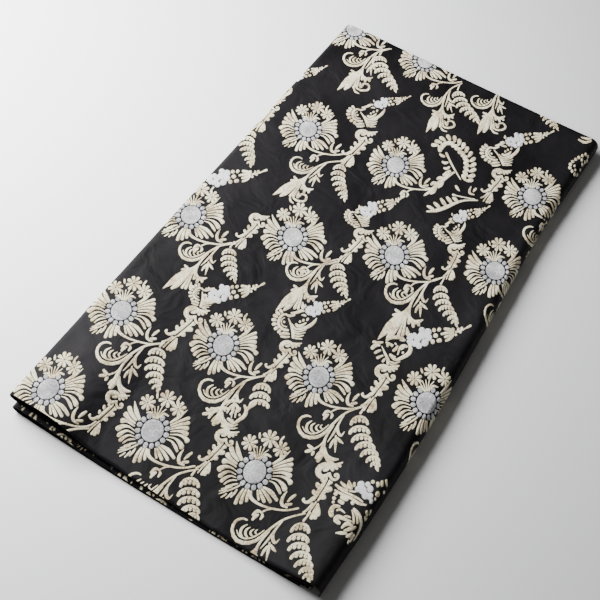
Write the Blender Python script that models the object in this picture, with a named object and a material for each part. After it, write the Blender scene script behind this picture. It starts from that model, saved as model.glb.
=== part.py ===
"""Folded silk brocade: one length of cloth, folded in four across its width.

The cloth lies flat, face up. X runs across the packet, from the two fold
noses on its left to its soft rolled side on the right. Y runs along the cut
length, from the front cut edge to the back one. Z is up, and the underside
rests at height 0. The origin is under the middle of the packet.
"""

import math

import bmesh
import bpy

# Driving size: the thickness of the sheet, in metres
SHEET = 0.0012

# The places where the cloth turns, in order from the face selvedge to the
# under selvedge: x of the turn at the front and back cut edges, and y of
# those edges there. Folding by hand leaves the layers a little askew. The
# front edge of the layer that follows bows forward between the two turns.
TURN_COLUMNS = ("name", "front_x", "back_x", "front_y", "back_y", "bow")
TURNS = (
    ("roll", 0.1304, 0.1279, -0.2498, 0.2512, 0.0015),
    ("upper_nose", -0.1346, -0.1321, -0.2493, 0.2537, 0.0015),
    ("inner_fold", 0.1264, 0.1239, -0.2498, 0.2487, 0.0020),
    ("lower_nose", -0.1316, -0.1306, -0.2528, 0.2472, 0.0020),
    ("under_end", 0.1214, 0.1189, -0.2503, 0.2482, 0.0),
)

# Height of the middle of each layer, in metres, from the left fold noses
# (across 0) to the right turns (across 1), at three places along the cloth.
# At the front the top layer stands up in a ripple beside its nose, and all
# layers are pressed down further right.
LEFT_X = -0.1346
RIGHT_X = 0.1304
HEIGHT_COLUMNS = ("across", "bottom", "third", "second", "top")
FRONT_HEIGHTS = (
    (0.00, 0.0006, 0.0098, 0.0118, 0.0205),
    (0.09, 0.0006, 0.0092, 0.0116, 0.0238),
    (0.17, 0.0006, 0.0072, 0.0096, 0.0220),
    (0.26, 0.0006, 0.0046, 0.0068, 0.0120),
    (0.42, 0.0006, 0.0032, 0.0052, 0.0082),
    (0.66, 0.0006, 0.0025, 0.0044, 0.0064),
    (0.82, 0.0006, 0.0028, 0.0050, 0.0074),
    (0.93, 0.0006, 0.0042, 0.0090, 0.0134),
    (1.00, 0.0006, 0.0048, 0.0122, 0.0176),
)
MIDDLE_HEIGHTS = (
    (0.00, 0.0006, 0.0092, 0.0112, 0.0196),
    (0.09, 0.0006, 0.0084, 0.0108, 0.0188),
    (0.17, 0.0006, 0.0068, 0.0094, 0.0166),
    (0.26, 0.0006, 0.0052, 0.0080, 0.0140),
    (0.42, 0.0006, 0.0041, 0.0069, 0.0112),
    (0.66, 0.0006, 0.0038, 0.0066, 0.0104),
    (0.82, 0.0006, 0.0040, 0.0072, 0.0112),
    (0.93, 0.0006, 0.0046, 0.0094, 0.0142),
    (1.00, 0.0006, 0.0048, 0.0112, 0.0166),
)
BACK_HEIGHTS = (
    (0.00, 0.0006, 0.0078, 0.0098, 0.0164),
    (0.09, 0.0006, 0.0074, 0.0097, 0.0163),
    (0.17, 0.0006, 0.0068, 0.0094, 0.0160),
    (0.26, 0.0006, 0.0062, 0.0092, 0.0156),
    (0.42, 0.0006, 0.0056, 0.0090, 0.0151),
    (0.66, 0.0006, 0.0053, 0.0088, 0.0148),
    (0.82, 0.0006, 0.0052, 0.0092, 0.0148),
    (0.93, 0.0006, 0.0051, 0.0102, 0.0151),
    (1.00, 0.0006, 0.0050, 0.0110, 0.0154),
)
MIDDLE_ALONG = 0.34

# The fold noses: how far each bulges past its turn
UPPER_NOSE_DEPTH = 0.0058
LOWER_NOSE_DEPTH = 0.0054
INNER_FOLD_DEPTH = 0.0046

# The roll: the face layer comes down over the right side to its selvedge,
# which hangs just above the surface. The side waves in and out a little.
ROLL_REACH = 0.0078
ROLL_TURN = math.radians(126)
SELVEDGE_HEIGHT = 0.0014
WAVE_COLUMNS = ("along", "shift")
ROLL_WAVES = (
    (0.00, 0.0000),
    (0.13, 0.0024),
    (0.32, 0.0030),
    (0.46, 0.0010),
    (0.60, -0.0014),
    (0.74, -0.0036),
    (0.88, -0.0016),
    (1.00, 0.0000),
)

# Steps of the mesh
LAYER_STEPS = 12
CLOSER_AT_TURNS = 0.5
NOSE_STEPS = 8
ROLL_STEPS = 8
LENGTH_STEPS = 20

CLOTH_COLOUR = (0.021, 0.020, 0.026, 1.0)
CLOTH_ROUGHNESS = 0.48


def clear_scene():
    """Remove every object that the file starts with."""
    for item in list(bpy.data.objects):
        bpy.data.objects.remove(item, do_unlink=True)


def slope_at(rows, column, index):
    """Slope of a table's smooth curve at one of its rows, level at the ends."""
    if index in (0, len(rows) - 1):
        return 0.0
    before, after = rows[index - 1], rows[index + 1]
    return (after[column] - before[column]) / (after[0] - before[0])


def read_table(rows, column, at):
    """Value of a table's column at a place between its rows, as a smooth curve."""
    at = min(max(at, rows[0][0]), rows[-1][0])
    index = 0
    while at > rows[index + 1][0]:
        index += 1
    low, high = rows[index], rows[index + 1]
    span = high[0] - low[0]
    part = (at - low[0]) / span
    rise = slope_at(rows, column, index) * span
    fall = slope_at(rows, column, index + 1) * span
    return (
        low[column] * (1 + 2 * part) * (1 - part) ** 2
        + high[column] * part * part * (3 - 2 * part)
        + rise * part * (1 - part) ** 2
        - fall * part * part * (1 - part)
    )


def mix(low, high, part):
    """Value a share of the way from low to high."""
    return low + (high - low) * part


def ease(part):
    """A share of the way from 0 to 1, slow at both ends."""
    return part * part * (3 - 2 * part)


def layer_height(layer, x, along):
    """Height of the middle of a layer at x, a share of the way along the length."""
    across = (x - LEFT_X) / (RIGHT_X - LEFT_X)
    column = HEIGHT_COLUMNS.index(layer)
    middle = read_table(MIDDLE_HEIGHTS, column, across)
    if along < MIDDLE_ALONG:
        front = read_table(FRONT_HEIGHTS, column, across)
        return mix(front, middle, ease(along / MIDDLE_ALONG))
    back = read_table(BACK_HEIGHTS, column, across)
    return mix(middle, back, ease((along - MIDDLE_ALONG) / (1 - MIDDLE_ALONG)))


def turn_x(turn, along):
    """x of a turn, a share of the way along the length."""
    front = TURNS[turn][TURN_COLUMNS.index("front_x")]
    back = TURNS[turn][TURN_COLUMNS.index("back_x")]
    x = mix(front, back, along)
    if x > 0:
        x += read_table(ROLL_WAVES, WAVE_COLUMNS.index("shift"), along)
    return x


def layer_run(layer, turn, along):
    """Points of a flat layer from one turn to the next, as (x, z, turn count)."""
    start = turn_x(turn, along)
    end = turn_x(turn + 1, along)
    points = []
    for step in range(LAYER_STEPS + 1):
        part = mix(step / LAYER_STEPS, ease(step / LAYER_STEPS), CLOSER_AT_TURNS)
        x = mix(start, end, part)
        points.append((x, layer_height(layer, x, along), turn + part))
    return points


def fold_nose(upper, lower, turn, depth, along):
    """Points round a fold between two layers; depth is negative to the left."""
    x = turn_x(turn, along)
    top = layer_height(upper, x, along)
    bottom = layer_height(lower, x, along)
    middle = (top + bottom) / 2
    half = (top - bottom) / 2
    points = []
    for step in range(1, NOSE_STEPS):
        angle = math.pi * step / NOSE_STEPS
        points.append((x + depth * math.sin(angle), middle + half * math.cos(angle), turn))
    return points


def roll(along):
    """Points from the face selvedge up round the roll to the top layer."""
    x = turn_x(0, along)
    top = layer_height("top", x, along)
    drop = (top - SELVEDGE_HEIGHT) / (1 - math.cos(ROLL_TURN))
    points = []
    for step in range(ROLL_STEPS, 0, -1):
        angle = ROLL_TURN * step / ROLL_STEPS
        height = top - drop * (1 - math.cos(angle))
        points.append((x + ROLL_REACH * math.sin(angle), height, 0.0))
    return points


def section(along):
    """The whole fold path of the cloth, from its face to its under selvedge."""
    points = roll(along)
    points += layer_run("top", 0, along)
    points += fold_nose("top", "second", 1, -UPPER_NOSE_DEPTH, along)
    points += layer_run("second", 1, along)
    points += fold_nose("second", "third", 2, INNER_FOLD_DEPTH, along)
    points += layer_run("third", 2, along)
    points += fold_nose("third", "bottom", 3, -LOWER_NOSE_DEPTH, along)
    points += layer_run("bottom", 3, along)
    return points


def cut_edges(turns):
    """y of the front and back cut edges, that many turns along the cloth."""
    turn = min(int(turns), len(TURNS) - 2)
    part = turns - turn
    front = TURN_COLUMNS.index("front_y")
    back = TURN_COLUMNS.index("back_y")
    bow = TURNS[turn][TURN_COLUMNS.index("bow")] * 4 * part * (1 - part)
    return (
        mix(TURNS[turn][front], TURNS[turn + 1][front], part) - bow,
        mix(TURNS[turn][back], TURNS[turn + 1][back], part),
    )


def cloth_mesh():
    """The middle surface of the cloth, as a grid of four-sided faces."""
    shape = bmesh.new()
    grid = []
    for row in range(LENGTH_STEPS + 1):
        along = row / LENGTH_STEPS
        line = []
        for x, z, turns in section(along):
            front, back = cut_edges(turns)
            line.append(shape.verts.new((x, mix(front, back, along), z)))
        grid.append(line)
    for near, far in zip(grid, grid[1:]):
        for left in range(len(near) - 1):
            corners = (near[left], near[left + 1], far[left + 1], far[left])
            shape.faces.new(corners)
    for edge in shape.edges:
        edge.smooth = not edge.is_boundary
    mesh = bpy.data.meshes.new("brocade_cloth")
    shape.to_mesh(mesh)
    shape.free()
    mesh.shade_smooth()
    return mesh


def cloth_material():
    """Dark silk with a soft sheen."""
    material = bpy.data.materials.new("brocade")
    material.use_nodes = True
    surface = material.node_tree.nodes["Principled BSDF"]
    surface.inputs["Base Color"].default_value = CLOTH_COLOUR
    surface.inputs["Roughness"].default_value = CLOTH_ROUGHNESS
    surface.inputs["Metallic"].default_value = 0.0
    return material


def build_cloth():
    """The folded cloth: its middle surface, given the sheet's thickness."""
    cloth = bpy.data.objects.new("brocade_cloth", cloth_mesh())
    bpy.context.scene.collection.objects.link(cloth)
    cloth.data.materials.append(cloth_material())
    thickness = cloth.modifiers.new("thickness", "SOLIDIFY")
    thickness.thickness = SHEET
    thickness.offset = 0.0
    thickness.use_even_offset = True
    thickness.use_quality_normals = True
    return cloth


clear_scene()
build_cloth()
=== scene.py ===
"""Looks of the folded silk brocade.

The cloth is a thin sheet on the fold path of its solid. Its woven figures are
thin raised areas of gold and silver thread, drawn flat and then laid on the
face of the cloth. Flat places on the cloth are in metres: u runs across it,
and is close to x on the top layer, and t runs along it from its front edge.
"""

import math

import bmesh
import bpy
import numpy as np
from mathutils import Matrix, Vector


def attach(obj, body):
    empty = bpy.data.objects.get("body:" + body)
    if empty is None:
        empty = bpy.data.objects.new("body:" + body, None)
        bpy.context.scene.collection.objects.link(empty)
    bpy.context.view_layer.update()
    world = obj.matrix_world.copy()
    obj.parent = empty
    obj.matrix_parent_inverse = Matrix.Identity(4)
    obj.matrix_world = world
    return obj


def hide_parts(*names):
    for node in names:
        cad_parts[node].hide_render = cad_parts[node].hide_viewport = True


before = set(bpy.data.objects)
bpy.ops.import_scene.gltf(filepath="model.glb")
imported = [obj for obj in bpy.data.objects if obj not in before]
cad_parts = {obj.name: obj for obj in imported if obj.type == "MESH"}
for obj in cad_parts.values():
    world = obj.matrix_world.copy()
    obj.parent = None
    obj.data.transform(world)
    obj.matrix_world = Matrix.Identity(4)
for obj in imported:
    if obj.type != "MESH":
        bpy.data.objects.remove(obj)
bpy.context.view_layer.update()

# The fold path, as in the solid: where the cloth turns, and its layers' heights
TURN_COLUMNS = ("name", "front_x", "back_x", "front_y", "back_y", "bow")
TURNS = (
    ("roll", 0.1304, 0.1279, -0.2498, 0.2512, 0.0015),
    ("upper_nose", -0.1346, -0.1321, -0.2493, 0.2537, 0.0015),
    ("inner_fold", 0.1264, 0.1239, -0.2498, 0.2487, 0.0020),
    ("lower_nose", -0.1316, -0.1306, -0.2528, 0.2472, 0.0020),
    ("under_end", 0.1214, 0.1189, -0.2503, 0.2482, 0.0),
)
LEFT_X = -0.1346
RIGHT_X = 0.1304
HEIGHT_COLUMNS = ("across", "bottom", "third", "second", "top")
FRONT_HEIGHTS = (
    (0.00, 0.0006, 0.0098, 0.0118, 0.0205),
    (0.09, 0.0006, 0.0092, 0.0116, 0.0238),
    (0.17, 0.0006, 0.0072, 0.0096, 0.0220),
    (0.26, 0.0006, 0.0046, 0.0068, 0.0120),
    (0.42, 0.0006, 0.0032, 0.0052, 0.0082),
    (0.66, 0.0006, 0.0025, 0.0044, 0.0064),
    (0.82, 0.0006, 0.0028, 0.0050, 0.0074),
    (0.93, 0.0006, 0.0042, 0.0090, 0.0134),
    (1.00, 0.0006, 0.0048, 0.0122, 0.0176),
)
MIDDLE_HEIGHTS = (
    (0.00, 0.0006, 0.0092, 0.0112, 0.0196),
    (0.09, 0.0006, 0.0084, 0.0108, 0.0188),
    (0.17, 0.0006, 0.0068, 0.0094, 0.0166),
    (0.26, 0.0006, 0.0052, 0.0080, 0.0140),
    (0.42, 0.0006, 0.0041, 0.0069, 0.0112),
    (0.66, 0.0006, 0.0038, 0.0066, 0.0104),
    (0.82, 0.0006, 0.0040, 0.0072, 0.0112),
    (0.93, 0.0006, 0.0046, 0.0094, 0.0142),
    (1.00, 0.0006, 0.0048, 0.0112, 0.0166),
)
BACK_HEIGHTS = (
    (0.00, 0.0006, 0.0078, 0.0098, 0.0164),
    (0.09, 0.0006, 0.0074, 0.0097, 0.0163),
    (0.17, 0.0006, 0.0068, 0.0094, 0.0160),
    (0.26, 0.0006, 0.0062, 0.0092, 0.0156),
    (0.42, 0.0006, 0.0056, 0.0090, 0.0151),
    (0.66, 0.0006, 0.0053, 0.0088, 0.0148),
    (0.82, 0.0006, 0.0052, 0.0092, 0.0148),
    (0.93, 0.0006, 0.0051, 0.0102, 0.0151),
    (1.00, 0.0006, 0.0050, 0.0110, 0.0154),
)
MIDDLE_ALONG = 0.34
UPPER_NOSE_DEPTH = 0.0058
LOWER_NOSE_DEPTH = 0.0054
INNER_FOLD_DEPTH = 0.0046
ROLL_REACH = 0.0078
ROLL_TURN = math.radians(126)
SELVEDGE_HEIGHT = 0.0014
WAVE_COLUMNS = ("along", "shift")
ROLL_WAVES = (
    (0.00, 0.0000),
    (0.13, 0.0024),
    (0.32, 0.0030),
    (0.46, 0.0010),
    (0.60, -0.0014),
    (0.74, -0.0036),
    (0.88, -0.0016),
    (1.00, 0.0000),
)

# The flat cloth: its length, the width of each stretch of it and its steps,
# where the top layer starts, as a flat place across, and its bare rim
CLOTH_LENGTH = 0.502
STRETCHES = (
    ("roll", 0.0215, 16),
    ("top", 0.2640, 132),
    ("upper_nose", 0.0160, 14),
    ("second", 0.2620, 24),
    ("inner_fold", 0.0120, 12),
    ("third", 0.2580, 24),
    ("lower_nose", 0.0157, 14),
    ("bottom", 0.2510, 24),
)
CLOTH_WIDTH = sum(width for name, width, steps in STRETCHES)
TOP_START = 0.1290
CLOTH_START = TOP_START + STRETCHES[0][1]
LENGTH_STEPS = 170
SHEET = 0.0007
BARE_RIM = 0.0002

# Soft creases of the top layer, in millimetres: a line of flat places, half
# the width of the crease, and how far it rises (a trough has less than 0)
CREASES = (
    (((-122, 224), (-100, 252), (-65, 279), (-34, 302), (-9, 328)), 2.6, 0.55),
    (((-124, 268), (-128, 200), (-130, 141)), 5.0, -0.40),
    (((118, 262), (122, 180), (126, 108)), 5.0, -0.45),
    (((-79, 169), (-60, 193), (-43, 220), (-31, 249)), 4.0, 0.50),
    (((-56, 206), (-21, 191), (12, 175)), 6.0, 0.45),
    (((32, 158), (41, 195), (58, 222)), 4.0, 0.45),
    (((85, 225), (112, 224), (131, 241)), 5.0, 0.40),
    (((23, 457), (58, 451), (94, 461)), 5.0, -0.40),
    (((-26, 409), (-9, 436), (13, 439)), 5.0, 0.40),
    (((-100, 470), (-60, 440), (-36, 404)), 7.0, 0.40),
    (((-137, 92), (-105, 91), (-85, 102)), 5.0, 0.45),
    (((-20, 330), (10, 318), (40, 322)), 5.0, -0.40),
    (((20, 96), (50, 104), (90, 92)), 6.0, 0.45),
    (((-48, 60), (-12, 82), (6, 104)), 5.0, -0.40),
)

# Raised thread: how far a figure stands out of the cloth at its crown, and
# how far its rim is sunk in it, in millimetres
CROWN = 0.36
SUNK_RIM = -0.03
UNDERSIDE_FLATTENED = 0.4

# The figures are drawn upright, in units of the weaver's chart. One unit to
# the right and one unit up are these many millimetres across and along.
UNIT_RIGHT = np.array((0.657, 0.438))
UNIT_UP = np.array((-0.470, 0.775))


def slope_at(rows, column, index):
    """Slope of a table's smooth curve at one of its rows, level at the ends."""
    if index in (0, len(rows) - 1):
        return 0.0
    before, after = rows[index - 1], rows[index + 1]
    return (after[column] - before[column]) / (after[0] - before[0])


def read_table(rows, column, at):
    """Values of a table's column at places between its rows, as a smooth curve."""
    at = np.asarray(at, float)
    places = np.array([row[0] for row in rows])
    values = np.array([row[column] for row in rows])
    slopes = np.array([slope_at(rows, column, index) for index in range(len(rows))])
    at = np.clip(at, places[0], places[-1])
    low = np.clip(np.searchsorted(places, at, side="right") - 1, 0, len(rows) - 2)
    span = places[low + 1] - places[low]
    part = (at - places[low]) / span
    return (
        values[low] * (1 + 2 * part) * (1 - part) ** 2
        + values[low + 1] * part * part * (3 - 2 * part)
        + slopes[low] * span * part * (1 - part) ** 2
        - slopes[low + 1] * span * part * part * (1 - part)
    )


def mix(low, high, part):
    """Value a share of the way from low to high."""
    return low + (high - low) * part


def ease(part):
    """A share of the way from 0 to 1, slow at both ends."""
    return part * part * (3 - 2 * part)


def layer_height(layer, x, along):
    """Height of the middle of a layer at x, a share of the way along the length."""
    across = (x - LEFT_X) / (RIGHT_X - LEFT_X)
    column = HEIGHT_COLUMNS.index(layer)
    front = read_table(FRONT_HEIGHTS, column, across)
    middle = read_table(MIDDLE_HEIGHTS, column, across)
    back = read_table(BACK_HEIGHTS, column, across)
    near = mix(front, middle, ease(np.clip(along / MIDDLE_ALONG, 0, 1)))
    far_part = np.clip((along - MIDDLE_ALONG) / (1 - MIDDLE_ALONG), 0, 1)
    far = mix(middle, back, ease(far_part))
    return np.where(along < MIDDLE_ALONG, near, far)


def turn_x(turn, along):
    """x of a turn, a share of the way along the length."""
    x = mix(TURNS[turn][1], TURNS[turn][2], along)
    waves = read_table(ROLL_WAVES, WAVE_COLUMNS.index("shift"), along)
    return np.where(x > 0, x + waves, x)


def stretch_points(index, part, along):
    """x, z and turn count of places on a stretch, part of the way over it."""
    name = STRETCHES[index][0]
    if name == "roll":
        angle = ROLL_TURN * (1 - part)
        x = turn_x(0, along)
        top = layer_height("top", x, along)
        drop = (top - SELVEDGE_HEIGHT) / (1 - math.cos(ROLL_TURN))
        return x + ROLL_REACH * np.sin(angle), top - drop * (1 - np.cos(angle)), 0 * part
    turn = index // 2
    if name in HEIGHT_COLUMNS:
        x = mix(turn_x(turn, along), turn_x(turn + 1, along), part)
        return x, layer_height(name, x, along), turn + part
    upper, lower = STRETCHES[index - 1][0], STRETCHES[index + 1][0]
    depths = {
        "upper_nose": -UPPER_NOSE_DEPTH,
        "inner_fold": INNER_FOLD_DEPTH,
        "lower_nose": -LOWER_NOSE_DEPTH,
    }
    x = turn_x(turn, along)
    top = layer_height(upper, x, along)
    bottom = layer_height(lower, x, along)
    angle = math.pi * part
    z = (top + bottom) / 2 + (top - bottom) / 2 * np.cos(angle)
    return x + depths[name] * np.sin(angle), z, turn + 0 * part


def cut_edge_y(turns, along):
    """y of places on the cloth, from the two cut edges at that many turns."""
    turn = np.clip(turns.astype(int), 0, len(TURNS) - 2)
    part = turns - turn
    front_y = np.array([row[TURN_COLUMNS.index("front_y")] for row in TURNS])
    back_y = np.array([row[TURN_COLUMNS.index("back_y")] for row in TURNS])
    bow = np.array([row[TURN_COLUMNS.index("bow")] for row in TURNS])
    front = mix(front_y[turn], front_y[turn + 1], part) - bow[turn] * 4 * part * (1 - part)
    back = mix(back_y[turn], back_y[turn + 1], part)
    return mix(front, back, along)


def fold_cloth():
    """The middle of the folded sheet as a grid of points, with its face normals."""
    along = np.linspace(0, 1, LENGTH_STEPS + 1)[:, None]
    flat, xs, zs, turns = [], [], [], []
    start = 0.0
    for index, (name, width, steps) in enumerate(STRETCHES):
        last = index == len(STRETCHES) - 1
        part = np.arange(steps + last) / steps
        x, z, turn = stretch_points(index, part[None, :] + 0 * along, along)
        flat.append(start + part * width)
        xs.append(x)
        zs.append(z)
        turns.append(turn)
        start += width
    flat = np.concatenate(flat)
    x, z, turn = (np.concatenate(parts, axis=1) for parts in (xs, zs, turns))
    y = cut_edge_y(turn, along)
    points = np.stack((x, y, z), axis=-1)
    return flat, points


def face_normals(points):
    """Unit normals of a grid of points, out of the face of the cloth."""
    over = np.gradient(points, axis=1)
    along = np.gradient(points, axis=0)
    normals = np.cross(along, over)
    return normals / np.linalg.norm(normals, axis=-1, keepdims=True)


def crease_rises(flat_steps):
    """How far the creases raise each place of the grid, in metres."""
    u = (CLOTH_START - flat_steps)[None, :] * 1000
    t = np.linspace(0, CLOTH_LENGTH, LENGTH_STEPS + 1)[:, None] * 1000
    rises = 0.0 * (u + t)
    for line, half_width, rise in CREASES:
        nearest = np.full(rises.shape, np.inf)
        for (start_u, start_t), (end_u, end_t) in zip(line, line[1:]):
            ahead_u, ahead_t = end_u - start_u, end_t - start_t
            part = ((u - start_u) * ahead_u + (t - start_t) * ahead_t) / (ahead_u**2 + ahead_t**2)
            part = np.clip(part, 0, 1)
            away = np.hypot(u - start_u - part * ahead_u, t - start_t - part * ahead_t)
            nearest = np.minimum(nearest, away)
        rises += rise * np.exp(-(nearest / half_width) ** 2) / 1000
    return rises


FLAT_STEPS, FOLDED = fold_cloth()
FOLDED = FOLDED + face_normals(FOLDED) * crease_rises(FLAT_STEPS)[:, :, None]
NORMALS = face_normals(FOLDED)


def new_object(name, data):
    """An object of the data, in the scene."""
    made = bpy.data.objects.new(name, data)
    bpy.context.scene.collection.objects.link(made)
    return made


def new_piece(name, mesh, material):
    """An object of the finished mesh, with its material alone."""
    mesh.materials.clear()
    mesh.materials.append(material)
    return new_object(name, mesh)


def add_flat_map(mesh, flat_places):
    """The flat places of the points as the mesh's UV map, and smooth shading."""
    layer = mesh.uv_layers.new(name="flat")
    corners = np.zeros(len(mesh.loops), dtype=np.int32)
    mesh.loops.foreach_get("vertex_index", corners)
    layer.data.foreach_set("uv", flat_places[corners].ravel())
    mesh.shade_smooth()


def set_inputs(node, inputs):
    """Fixed values for some of a node's inputs."""
    for socket, value in inputs.items():
        node.inputs[socket].default_value = value


def add_node(nodes, kind, inputs=None, **settings):
    """A new node, with its settings and the fixed values of its inputs."""
    node = nodes.new(kind)
    for setting, value in settings.items():
        setattr(node, setting, value)
    set_inputs(node, inputs or {})
    return node


def join_nodes(links, *joins):
    """Links, each from a node's named output to a node's named input."""
    for source, output, target, socket in joins:
        links.new(source.outputs[output], target.inputs[socket])


def add_sockets(tree, way, kinds):
    """The named inputs, or the named outputs, of a node group."""
    for name, kind in kinds.items():
        tree.interface.new_socket(name, in_out=way, socket_type="NodeSocket" + kind)


def build_sheet(material):
    """The cloth: face, reverse and cut edges, one closed thin sheet."""
    rows, columns = FOLDED.shape[:2]
    face = (FOLDED + NORMALS * SHEET / 2).reshape(-1, 3)
    reverse = (FOLDED - NORMALS * SHEET / 2).reshape(-1, 3)
    flat = np.stack(np.meshgrid(CLOTH_START - FLAT_STEPS, np.linspace(0, CLOTH_LENGTH, rows)), -1)
    flat = flat.reshape(-1, 2)
    count = rows * columns
    place = np.arange(count).reshape(rows, columns)
    a, b = place[:-1, :-1].ravel(), place[:-1, 1:].ravel()
    c, d = place[1:, 1:].ravel(), place[1:, :-1].ravel()
    faces = [tuple(quad) for quad in np.stack((a, d, c, b), 1)]
    faces += [tuple(quad) for quad in np.stack((a, b, c, d), 1) + count]
    border = np.concatenate((place[0, :], place[1:, -1], place[-1, -2::-1], place[-2:0:-1, 0]))
    following = np.roll(border, -1)
    faces += [tuple(quad) for quad in np.stack((border, following, following + count, border + count), 1)]
    mesh = bpy.data.meshes.new("brocade_sheet")
    mesh.from_pydata(np.concatenate((face, reverse)), [], faces)
    add_flat_map(mesh, np.concatenate((flat, flat)))
    return new_piece("brocade_sheet", mesh, material)


# Drawing of figures. A figure is a list of strokes, each a crowned stripe of
# thread along a smooth line, with half widths at even places along it.
ACROSS = np.array((-1.0, -0.72, 0.0, 0.72, 1.0))
ACROSS_CROWN = np.array((0.0, 0.88, 1.0, 0.88, 0.0))
WIDE_ACROSS = np.array((-1.0, -0.94, -0.72, -0.36, 0.0, 0.36, 0.72, 0.94, 1.0))
WIDE_CROWN = np.array((0.0, 0.80, 0.94, 0.99, 1.0, 0.99, 0.94, 0.80, 0.0))
WIDE_STROKE = 5.0
LONG_STROKE = 9.0
SHORT_STEPS = 6
LONG_STEPS = 9
WIDE_STEPS = 2.4
COARSE_STEPS = 3
COARSE_SHARE = 0.6
CLOSER_AT_ENDS = 0.7
THINNEST = 0.03
CROWN_TO_WIDTH = 0.46
WHITE_FIGURES = ("rosette", "roll_cluster_silver")
WHITER = 2.0
GOLD_WIDTHS = 0.94
POINTS_TO_UNIT = 10


def smooth_line(points, at):
    """Places on a smooth line through the points, at shares of the way."""
    points = np.asarray(points, float)
    if len(points) == 2:
        return mix(points[0], points[1], at[:, None])
    padded = np.vstack((2 * points[0] - points[1], points, 2 * points[-1] - points[-2]))
    place = at * (len(points) - 1)
    low = np.minimum(place.astype(int), len(points) - 2)
    part = (place - low)[:, None]
    p0, p1, p2, p3 = (padded[low + shift] for shift in range(4))
    return 0.5 * (
        2 * p1
        + (p2 - p0) * part
        + (2 * p0 - 5 * p1 + 4 * p2 - p3) * part**2
        + (3 * p1 - p0 - 3 * p2 + p3) * part**3
    )


def stroke(points, half_widths, fine):
    """One crowned stripe: rows of (x, y, height, face), and its faces.

    x and y are in chart units and height in millimetres; face is 0 on the
    stripe's rim and 1 inside it. The stripe has fewer faces if it isn't fine.
    """
    reach = float(np.sum(np.linalg.norm(np.diff(np.asarray(points, float), axis=0), axis=1)))
    steps = SHORT_STEPS if reach < LONG_STROKE else LONG_STEPS + 2 * max(0, len(points) - 3)
    steps = max(steps, int(max(half_widths) * WIDE_STEPS))
    picked = slice(None) if fine else slice(None, None, 2)
    rows = (WIDE_ACROSS, WIDE_CROWN) if max(half_widths) > WIDE_STROKE else (ACROSS, ACROSS_CROWN)
    across, crowned = (row[picked] for row in rows)
    if not fine:
        steps = max(COARSE_STEPS, int(steps * COARSE_SHARE))
    even = np.linspace(0, 1, steps + 1)
    at = mix(even, (1 - np.cos(math.pi * even)) / 2, CLOSER_AT_ENDS)
    middle = smooth_line(points, at)
    ahead = np.gradient(middle, axis=0)
    ahead /= np.maximum(np.linalg.norm(ahead, axis=1, keepdims=True), 1e-9)
    side = np.stack((-ahead[:, 1], ahead[:, 0]), 1)
    half = np.interp(at, np.linspace(0, 1, len(half_widths)), half_widths)
    for end, distance in ((half_widths[0], at * reach), (half_widths[-1], (1 - at) * reach)):
        if end > 0:
            inside = np.clip(1 - distance / end, 0, 1)
            half = half * np.sqrt(np.maximum(1 - inside**2, 0.0))
    half = np.maximum(half, THINNEST)
    flat = middle[:, None, :] + side[:, None, :] * (half[:, None] * across)[:, :, None]
    lift = np.minimum(half * CROWN_TO_WIDTH, 1.0)[:, None] * crowned
    height = SUNK_RIM + (CROWN - SUNK_RIM) * lift
    face = np.where(np.abs(across) < 1, 1.0, 0.0) + 0 * height
    face[0] = face[-1] = 0.0
    vertices = np.dstack((flat, height, face)).reshape(-1, 4)
    wide = len(across)
    faces = []
    for row in range(steps):
        for column in range(wide - 1):
            corner = row * wide + column
            faces.append((corner, corner + wide, corner + wide + 1, corner + 1))
    return vertices, faces


def chart_to_cloth(vertices):
    """Chart units turned into flat places, all in metres."""
    placed = vertices[:, 0:1] * UNIT_RIGHT + vertices[:, 1:2] * UNIT_UP
    return np.concatenate((placed, vertices[:, 2:3]), axis=1) / 1000


def figure_mesh(name, rows, fine, widths):
    """A mesh of strokes, lying flat at its own anchor. Some figures are whiter."""
    vertices, faces = [], []
    count = 0
    for line, half_widths in rows:
        line = np.array(line, float) / POINTS_TO_UNIT
        half_widths = [half * widths / POINTS_TO_UNIT for half in half_widths]
        stroke_vertices, stroke_faces = stroke(line, half_widths, fine)
        vertices.append(stroke_vertices)
        faces += [tuple(corner + count for corner in face) for face in stroke_faces]
        count += len(stroke_vertices)
    vertices = np.concatenate(vertices)
    mesh = bpy.data.meshes.new(name)
    mesh.from_pydata(chart_to_cloth(vertices), [], faces)
    # The crown mask is 0 at each stroke's rim, where the thread gets painted shade, and above 1 inside
    # whiter figures
    crown = mesh.attributes.new("crown", "FLOAT", "POINT")
    whiter = WHITER if name in WHITE_FIGURES else 1.0
    crown.data.foreach_set("value", vertices[:, 3] * whiter)
    return mesh


def disc(x, y, radius):
    """A round spot, as a short stroke."""
    return ((x, y - radius), (x, y), (x, y + radius)), (radius, radius, radius)


def ring(centre, angles, reaches, half_widths):
    """Strokes straight out from a centre, one at each angle in degrees."""
    rows = []
    for angle in np.radians(angles):
        ahead = np.array((math.cos(angle), math.sin(angle)))
        rows.append(([np.array(centre) + ahead * reach for reach in reaches], half_widths))
    return rows


# Tables of strokes: the points of each line, then its half widths, in points
# of the chart, ten to a unit. A table of discs has x, y and radius.

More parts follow.
